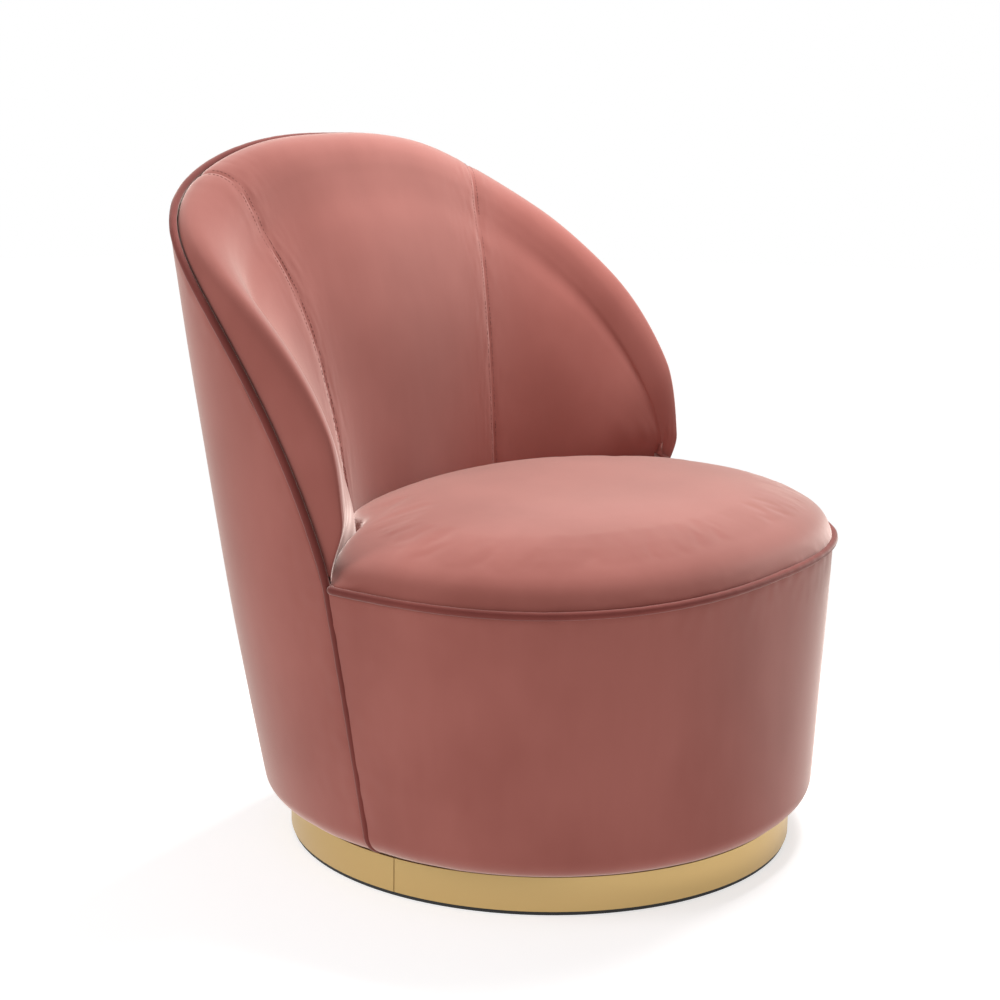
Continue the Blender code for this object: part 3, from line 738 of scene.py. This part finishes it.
@dataclass
class InsideBack:
    """Three padded velvet panels inside the back, sewn together at two upright seams."""

    tub: TubShape
    pad: PadShape
    thickness: float = 0.0012
    end_clear: float = math.radians(0.35)
    face_share: float = 0.75
    seam_sink: float = 0.0014
    seam_width: float = 0.0060
    seam_power: float = 1.3
    slack: Unevenness = Unevenness(0.0012, 0.10, seed=7.0)
    pucker: Unevenness = Unevenness(0.0010, 0.013, 0.016, 2.0)
    pucker_stretch: float = 0.4
    lip_share: float = 0.08
    probe: float = 0.004
    rows: int = 110
    columns: dict[str, int] = field(default_factory=lambda: {"centre": 150, "side": 100})
    stitch_pitch: float = 0.0046
    stitch_side: float = 0.0042
    stitch_radius: float = 0.00036
    stitch_half: float = 0.37
    stitch_span: tuple[float, float] = (0.20, 0.98)
    stitch_samples: int = 240
    foam_grid: tuple[int, int] = (48, 80)
    foam_depth: float = 0.0060
    foam_top: float = 0.10
    foam_end: float = math.radians(79.0)
    foam_back: float = 0.0375
    back_share: float = 0.4
    hook_drop: float = 0.034
    ends: dict[str, tuple[float, float]] = field(init=False)

    def __post_init__(self) -> None:
        """Set the panels' end angles."""
        seam, last = self.pad.seam, self.tub.edge_end - self.end_clear
        self.ends = {"centre": (-seam, seam), "left": (seam, last), "right": (-last, -seam)}

    def relief(self, theta: float, point: Vector) -> float:
        """How far the velvet stands out of the pad's plain face."""
        gap = abs(abs(theta) - self.pad.seam) * self.tub.radius(theta, point.z) * self.face_share
        sink = self.seam_sink * math.exp(-(gap / self.seam_width) ** self.seam_power)
        along = Vector((gap * self.pucker_stretch, point.z, theta))
        return self.slack.at(point) - sink + self.pucker.at(along, gap)

    def surface(self, theta: float, share: float, depth: float = 0.0) -> Vector:
        """Point on the velvet.

        Args:
            theta: Angle of the column.
            share: From 0 at the welt to 1 at the bottom.
            depth: How far beneath the velvet.

        Returns:
            The point.
        """
        place, step = self.pad.point, self.probe
        plain = place(theta, share)
        down = place(theta, min(share + step, 1.0)) - place(theta, max(share - step, 0.0))
        across = place(theta + step, share) - place(theta - step, share)
        normal = down.cross(across).normalized()
        edge = min(1.0, share / self.lip_share)
        return plain + normal * (self.relief(theta, plain) * edge - depth)

    def build_foam(self, side: str) -> None:
        """The foam pad under one panel, cut away where the wing runs out."""
        end = self.tub.edge_end
        first, last = (math.asin(max(-self.foam_end, min(self.foam_end, angle)) / end)
                       for angle in self.ends[side])
        columns, rows = self.foam_grid

        def place(across: float, down: float) -> Vector:
            theta = end * math.sin(first + (last - first) * across)
            loop = 2.0 * (round(down * rows) % rows) / rows
            if loop <= 1.0:
                share = self.foam_top + (1.0 - self.foam_top) * loop
                return self.surface(theta, share, self.foam_depth)
            reach = self.tub.edge(theta) - self.pad.bottom
            drop = reach + (min(self.hook_drop, reach / 2) - reach) * (loop - 1.0)
            inset = min(self.foam_back, self.back_share * self.pad.inset(theta, drop))
            return self.tub.shell(theta, self.tub.edge(theta) - drop, inset)
        work = close_up(placed_grid(columns, rows, place))
        name = f"back_foam_{side}"
        piece = add_piece(f"{name}_block", work, FOAM, "foam", Body.CHAIR, [name])

    def build_panel(self, side: str) -> None:
        """One panel."""
        first, last = (math.asin(angle / self.tub.edge_end) for angle in self.ends[side])
        columns = self.columns["centre" if side == "centre" else "side"]

        def place(across: float, down: float) -> Vector:
            theta = self.tub.edge_end * math.sin(first + (last - first) * across)
            return self.surface(theta, down)
        work = placed_grid(columns, self.rows, place)
        piece = add_piece(f"inside_back_velvet_{side}", work, VELVET, "velvet", Body.CHAIR,
                          [f"inside_back_cover_{side}"])
        thicken(piece, self.thickness)

    def build_stitches(self, side: str, sign: float) -> None:
        """Twin rows of stitches along one seam."""
        work = bmesh.new()
        seam, (first, last) = sign * self.pad.seam, self.stitch_span
        for row in (-1.0, 1.0):
            path = []
            for i in range(self.stitch_samples + 1):
                share = first + (last - first) * i / self.stitch_samples
                radius = self.tub.radius(seam, self.pad.point(seam, share).z)
                path.append(self.surface(seam + row * self.stitch_side / radius, share))
            self.add_row(work, path)
        add_piece(f"seam_stitches_{side}", work, THREAD, "velvet", Body.CHAIR)

    def add_row(self, work: bmesh.types.BMesh, path: Sequence[Vector]) -> None:
        """Short stitches spaced evenly along a path."""
        travelled, due = 0.0, 0.0
        stretch = self.stitch_half * self.stitch_pitch / self.stitch_radius
        for near, far in zip(path, path[1:]):
            step = (far - near).length
            travelled += step
            if travelled < due:
                continue
            due += self.stitch_pitch
            turn = (far - near).to_track_quat("Z", "Y").to_matrix()
            made = bmesh.ops.create_icosphere(work, subdivisions=1, radius=self.stitch_radius)["verts"]
            bmesh.ops.scale(work, verts=made, vec=(1.0, 1.0, stretch))
            bmesh.ops.rotate(work, verts=made, cent=(0.0, 0.0, 0.0), matrix=turn)
            bmesh.ops.translate(work, verts=made, vec=near)

    def build(self) -> None:
        """All panels and both seams' stitches."""
        for side in self.ends:
            self.build_panel(side)
            self.build_foam(side)
        for side, sign in (("left", 1.0), ("right", -1.0)):
            self.build_stitches(side, sign)


# ---------------------------------------------------------------- seat

@dataclass
class Seat:
    """The domed seat, blown up tight against its welt."""

    tub: TubShape
    pad: PadShape
    base: float = 0.3190
    rim_rise: float = 0.0040
    crown: float = 0.4015
    centre_back: float = 0.030
    half_width: float = 0.340
    rear_reach: float = 0.237
    square: float = 2.2
    dome: float = 3.0
    junction: float = 0.350
    roll: float = 0.006
    foam_under: float = 0.0085
    front_inset: float = 0.0016
    rear_gap: float = 0.0006
    around: int = 220
    side_rows: int = 5
    dome_rows: int = 46
    voxel: float = 0.006
    smoothings: int = 4
    pressure: float = 3.0
    frames: int = 14
    most_swell: float = 0.0030
    most_dip: float = -0.0012
    share_kept: float = 0.45

    def outline(self, share: float) -> Vector:
        """Plan of the seat: behind it follows the pads, in front the body's wall."""
        turn = math.tau * share - math.pi
        end = self.tub.edge_end
        if abs(turn) >= end:
            return self.tub.shell(turn, self.tub.seat_z, self.front_inset)
        drop = self.tub.edge(turn) - self.junction
        inset = self.pad.inset(turn, max(drop, 0.0)) + self.rear_gap
        return self.tub.shell(turn, self.tub.seat_z, max(inset, self.front_inset))

    def height(self, point: Vector, reach: float, gap: float) -> float:
        """Height of the dome.

        Args:
            point: Where, in plan, from the dome's centre.
            reach: Share of the way from the centre to the outline.
            gap: Distance to the outline.

        Returns:
            The height.
        """
        away = reach
        if point.y > 0.0:
            across = (abs(point.x) / self.half_width) ** self.square
            away = min(1.0, (across + (point.y / self.rear_reach) ** self.square) ** (1.0 / self.square))
        rim = self.tub.seat_z + self.rim_rise
        rise = (self.crown - rim) * (1.0 - away ** self.dome) ** (1.0 / self.square)
        return rim + max(0.0, rise - self.roll * math.exp(-gap / self.roll))

    def place(self, across: float, down: float, under: float = 0.0) -> Vector:
        """Point on the closed cushion, or under it, from the crown down to the middle of its base."""
        rows = self.dome_rows + self.side_rows + 1
        row = round(down * rows)
        centre = Vector((0.0, self.tub.centre_y - self.centre_back, 0.0))
        edge = self.outline(across) - centre
        edge.z = 0.0
        edge *= 1.0 - under / edge.length
        reach = math.sin(math.pi / 2 * min(row / self.dome_rows, 1.0)) ** (2.0 / self.dome)
        point = edge * reach
        top = self.height(point, reach, edge.length * (1.0 - reach)) - under
        if row > self.dome_rows:
            top += (self.base - top) * min(1.0, (row - self.dome_rows) / self.side_rows)
        if row == rows:
            point = Vector((0.0, 0.0, 0.0))
        return Vector((point.x, centre.y + point.y, top))

    def build(self) -> None:
        """The cushion, simulated and finished, and its foam."""
        rows = self.dome_rows + self.side_rows + 1
        work = close_up(placed_grid(self.around, rows, self.place))
        piece = add_piece("seat_velvet", work, VELVET, "velvet", Body.CHAIR, ["seat_cover"])
        self.remesh(piece)
        self.blow_up(piece)
        smooth = piece.modifiers.new("smooth", "SUBSURF")
        smooth.levels = smooth.render_levels = 1
        work = close_up(placed_grid(self.around // 2, rows,
                                    lambda across, down: self.place(across, down, self.foam_under)))
        piece = add_piece("seat_foam_block", work, FOAM, "foam", Body.CHAIR, ["seat_foam"])

    def remesh(self, piece: Piece) -> None:
        """Even quads all over, then smoothed."""
        even = piece.modifiers.new("even", "REMESH")
        even.mode = "VOXEL"
        even.voxel_size = self.voxel
        settle(piece)
        work = bmesh.new()
        work.from_mesh(piece.data)
        for _ in range(self.smoothings):
            bmesh.ops.smooth_vert(work, verts=work.verts, factor=0.5, use_axis_x=True,
                                  use_axis_y=True, use_axis_z=True)
        work.to_mesh(piece.data)
        work.free()
        piece.data.shade_smooth()

    def blow_up(self, piece: Piece) -> None:
        """Cloth under pressure, held at the welt, keeping part of its travel within limits."""
        rest = [(vert.co.copy(), vert.normal.copy()) for vert in piece.data.vertices]
        held = piece.vertex_groups.new(name="held")
        line = self.tub.seat_z + self.rim_rise
        held.add([i for i, (co, _) in enumerate(rest) if co.z < line], 1.0, "REPLACE")
        cloth = piece.modifiers.new("cloth", "CLOTH")
        cloth.settings.use_pressure = True
        cloth.settings.uniform_pressure_force = self.pressure
        cloth.settings.effector_weights.gravity = 0.0
        cloth.settings.vertex_group_mass = held.name
        cloth.settings.quality = 5
        cloth.point_cache.frame_start, cloth.point_cache.frame_end = 1, self.frames
        scene = bpy.context.scene
        for number in range(1, self.frames + 1):
            scene.frame_set(number)
        settle(piece)
        scene.frame_set(1)
        for vert, (start, normal) in zip(piece.data.vertices, rest):
            travel = (vert.co - start).dot(normal) * self.share_kept
            vert.co = start + normal * max(self.most_dip, min(self.most_swell, travel))
        piece.vertex_groups.clear()


def settle(piece: Piece) -> None:
    """Apply a piece's modifiers."""
    graph = bpy.context.evaluated_depsgraph_get()
    graph.update()
    mesh = bpy.data.meshes.new_from_object(piece.evaluated_get(graph))
    piece.modifiers.clear()
    piece.data = mesh
    mesh.shade_smooth()


# ---------------------------------------------------------------- welts

@dataclass
class Welts:
    """Cords wrapped in velvet along the back's edge, down the side seams and round the seat."""

    tub: TubShape
    radius: float = 0.0043
    inset: float = 0.0030
    over_steps: int = 420
    side_steps: int = 90
    seat_steps: int = 360
    hem_steps: int = 8
    seat_gap: float = 0.0040
    seat_tuck: float = 0.0045
    tuck_share: float = 0.006 / 2.2

    def side_seam(self, sign: float) -> list[Vector]:
        """The side seam's path from the seat down and under the body."""
        path = []
        start = self.tub.bottom + self.tub.rounding
        for i in range(1, self.side_steps):
            z = self.tub.seat_z + (start - self.tub.seat_z) * i / self.side_steps
            path.append(self.tub.shell(sign * self.tub.seam(z), z, self.inset))
        reach = self.tub.rounding - self.inset
        for i in range(self.hem_steps + 1):
            turn = math.pi / 2 * i / self.hem_steps
            z = start - reach * math.sin(turn)
            inset = self.tub.rounding - reach * math.cos(turn)
            path.append(self.tub.shell(sign * self.tub.seam(z), z, inset))
        return path

    def build(self) -> None:
        """Both welts."""
        over = []
        for i in range(self.over_steps + 1):
            theta = self.tub.edge_theta(2.0 * i / self.over_steps - 1.0)
            over.append(self.tub.shell(theta, self.tub.edge(theta), self.inset))
        path = list(reversed(self.side_seam(-1.0))) + over + self.side_seam(1.0)
        add_piece("back_welt", sweep_cord(path, self.radius), WELT_PAINTED_SHADE, "velvet_welt", Body.CHAIR,
                  ["back_piping"])
        end, z = self.tub.edge_end, self.tub.seat_z
        start = end + self.seat_gap / self.tub.radius(end, z)
        around = []
        for i in range(self.seat_steps + 1):
            share = i / self.seat_steps
            theta = start + (math.tau - 2 * start) * share
            tuck = self.seat_tuck * math.exp(-min(share, 1.0 - share) / self.tuck_share)
            around.append(self.tub.shell(theta, z, tuck))
        add_piece("seat_welt", sweep_cord(around, self.radius), WELT_PAINTED_SHADE, "velvet_welt", Body.CHAIR,
                  ["seat_piping"])


# ---------------------------------------------------------------- plinth

@dataclass
class Plinth:
    """The brass band and the ring that it stands on, spun about the swivel axis."""

    axis_y: float
    radius: float
    thickness: float = 0.0014
    foot_inner: float = 0.262
    crease: float = math.radians(40.0)
    steps: int = 192
    joint: float = math.radians(182.0)
    slit: float = 0.0010
    soften: float = 0.00035

    def spin(self, inner: float, outer: float, low: float, high: float, sweep: float) -> bmesh.types.BMesh:
        """A ring of rectangular section with softened edges.

        Args:
            inner: Inner radius.
            outer: Outer radius.
            low: Height of its underside.
            high: Height of its top.
            sweep: Angle that it runs through, a full turn if closed.

        Returns:
            The ring's mesh.
        """
        work = bmesh.new()
        corners = [work.verts.new((r, 0.0, z)) for r, z in
                   ((inner, low), (outer, low), (outer, high), (inner, high))]
        face = work.faces.new(corners)
        bmesh.ops.bevel(work, geom=list(face.verts), offset=self.soften, affect="VERTICES",
                        segments=3, profile=0.5, material=-1)
        closed = sweep >= math.tau
        start = self.joint + (math.tau - sweep) / 2
        bmesh.ops.rotate(work, verts=work.verts, cent=(0.0, 0.0, 0.0),
                         matrix=Matrix.Rotation(start, 3, "Z"))
        section = list(work.faces)
        bmesh.ops.spin(work, geom=section + list(work.edges), cent=(0.0, 0.0, 0.0), axis=(0.0, 0.0, 1.0),
                       angle=sweep, steps=self.steps, use_merge=closed, use_duplicate=False)
        if closed:
            inside = [f for f in work.faces if len(f.verts) > 4]
            bmesh.ops.delete(work, geom=inside, context="FACES_ONLY")
        close_up(work)
        bmesh.ops.translate(work, verts=work.verts, vec=(0.0, self.axis_y, 0.0))
        return work

    def build(self) -> None:
        """Band and ring."""
        low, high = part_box("plinth_band")
        band = self.spin(self.radius - self.thickness, self.radius, low.z, high.z,
                         math.tau - self.slit / self.radius)
        low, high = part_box("foot_ring")
        foot = self.spin(self.foot_inner, high.x, low.z, high.z, math.tau)
        for name, work, finish, slot, node in (("brass_band", band, BRASS, "brushed_brass", "plinth_band"),
                                               ("rubber_foot", foot, RUBBER, "black_rubber", "foot_ring")):
            piece = add_piece(name, work, finish, slot, Body.PLINTH, [node])
            piece.data.set_sharp_from_angle(angle=self.crease)


# ---------------------------------------------------------------- frame and stage

@dataclass
class InnerParts:
    """The frame's own nodes, most of which stay as they are."""

    nodes: dict[str, Piece]

    def dress(self) -> None:
        """Give every node of the frame its finish."""
        slots = {part["node"]: part["material_slot"] for part in frame["record"]["subparts"]}
        for name, node in self.nodes.items():
            material = SLOT_FINISHES[slots[name]].material()
            node.data.materials.clear()
            node.data.materials.append(material)


@dataclass(frozen=True)
class Lamp:
    """A soft box."""

    name: str
    place: Colour
    aim: Colour
    size: tuple[float, float]
    power: float


@dataclass
class Studio:
    """Pale floor, soft boxes and the camera."""

    azimuth: float = math.radians(-55.17)
    elevation: float = math.radians(11.70)
    roll: float = math.radians(0.83)
    distance: float = 2.196
    lens: float = 69.87
    aim_side: float = -0.0508
    aim_height: float = 0.3754
    axis_y: float = -0.0055
    lamps: tuple[Lamp, ...] = (
        Lamp("top_box", (0.75, 0.05, 2.10), (0.0, -0.05, 0.35), (0.9, 0.9), 64.0),
        Lamp("side_box", (-2.0, 1.2, 1.40), (0.0, 0.0, 0.35), (1.2, 1.4), 24.0),
        Lamp("front_box", (-1.5, -2.3, 0.7), (0.0, 0.0, 0.3), (1.0, 1.0), 5.0),
    )
    floor_radius: float = 8.0
    floor_drop: float = 0.0004
    floor_fade: tuple[float, float] = (0.34, 0.95)
    floor_tone: float = 0.62
    world_light: float = 0.38

    def build(self) -> None:
        """Floor, lamps, world and camera."""
        self.build_floor()
        self.build_world()
        for lamp in self.lamps:
            self.build_lamp(lamp)
        self.build_camera()

    def build_floor(self) -> None:
        """A pale floor that takes a soft shadow near the chair and is plain white further off."""
        work = bmesh.new()
        bmesh.ops.create_circle(work, cap_ends=True, radius=self.floor_radius, segments=96)
        bmesh.ops.translate(work, verts=work.verts, vec=(0.0, 0.0, -self.floor_drop))
        mesh = bpy.data.meshes.new("studio_floor")
        work.to_mesh(mesh)
        work.free()
        made = bpy.data.materials.new("pale_floor")
        made.use_nodes = True
        sheet = Sheet(made.node_tree)
        surface = made.node_tree.nodes["Principled BSDF"]
        surface.inputs["Roughness"].default_value = 0.7
        surface.inputs["Specular IOR Level"].default_value = 0.1
        surface.inputs["Emission Strength"].default_value = 1.0
        away = sheet.add("VectorMath", {"operation": "LENGTH"})
        sheet.tree.links.new(sheet.add("TexCoord").outputs["Object"], away.inputs[0])
        far = sheet.span(away.outputs["Value"], *self.floor_fade)
        for socket, end in (("Base Color", 0.0), ("Emission Color", 1.0)):
            sheet.feed(surface.inputs[socket], sheet.blend(far, (self.floor_tone,) * 3, (end,) * 3))
        mesh.materials.append(made)
        floor = bpy.data.objects.new("studio_floor", mesh)
        bpy.context.scene.collection.objects.link(floor)

    def build_world(self) -> None:
        """Even light, and a white ground behind the chair."""
        world = bpy.data.worlds.new("studio")
        world.use_nodes = True
        bpy.context.scene.world = world
        sheet = Sheet(world.node_tree)
        ground = world.node_tree.nodes["Background"]
        seen = sheet.add("LightPath").outputs["Is Camera Ray"]
        sheet.feed(ground.inputs["Color"], sheet.blend(seen, (self.world_light,) * 3, (1.0, 1.0, 1.0)))
        bpy.context.scene.view_settings.view_transform = "Standard"

    def build_lamp(self, lamp: Lamp) -> None:
        """Hang one soft box."""
        light = bpy.data.lights.new(lamp.name, "AREA")
        light.shape = "RECTANGLE"
        light.size, light.size_y = lamp.size
        light.energy = lamp.power
        holder = bpy.data.objects.new(lamp.name, light)
        holder.location = lamp.place
        way = Vector(lamp.aim) - Vector(lamp.place)
        holder.rotation_mode = "QUATERNION"
        holder.rotation_quaternion = way.to_track_quat("-Z", "Y")
        bpy.context.scene.collection.objects.link(holder)

    def build_camera(self) -> None:
        """The camera, three quarters on to the chair's right side."""
        sine, cosine = math.sin(self.azimuth), math.cos(self.azimuth)
        level = math.cos(self.elevation)
        back = Vector((sine * level, -cosine * level, math.sin(self.elevation)))
        right = Vector((cosine, sine, 0.0))
        up = back.cross(right)
        aim = Vector((0.0, self.axis_y, self.aim_height)) + right * self.aim_side
        lean, rise = math.cos(self.roll), math.sin(self.roll)
        turn = Matrix((right * lean + up * rise, up * lean - right * rise, back)).transposed()
        camera = bpy.data.objects.new("camera", bpy.data.cameras.new("camera"))
        camera.data.lens = self.lens
        camera.data.sensor_width = 36.0
        camera.matrix_world = Matrix.Translation(aim + back * self.distance) @ turn.to_4x4()
        bpy.context.scene.collection.objects.link(camera)
        bpy.context.scene.camera = camera


def main() -> None:
    """Build and dress the whole chair."""
    logging.basicConfig(level=logging.INFO, format="%(name)s: %(message)s")
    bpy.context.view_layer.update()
    Studio().build()
    tub = TubShape()
    pad = PadShape(tub)
    inner = InnerParts(frame["nodes"])
    inner.dress()
    cover = WallCover(tub)
    cover.build_back()
    cover.build_front()
    InsideBack(tub, pad).build()
    Seat(tub, pad).build()
    Welts(tub).build()
    low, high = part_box("plinth_band")
    Plinth((low.y + high.y) / 2, (high.x - low.x) / 2).build()


if __name__ == "__main__":
    main()
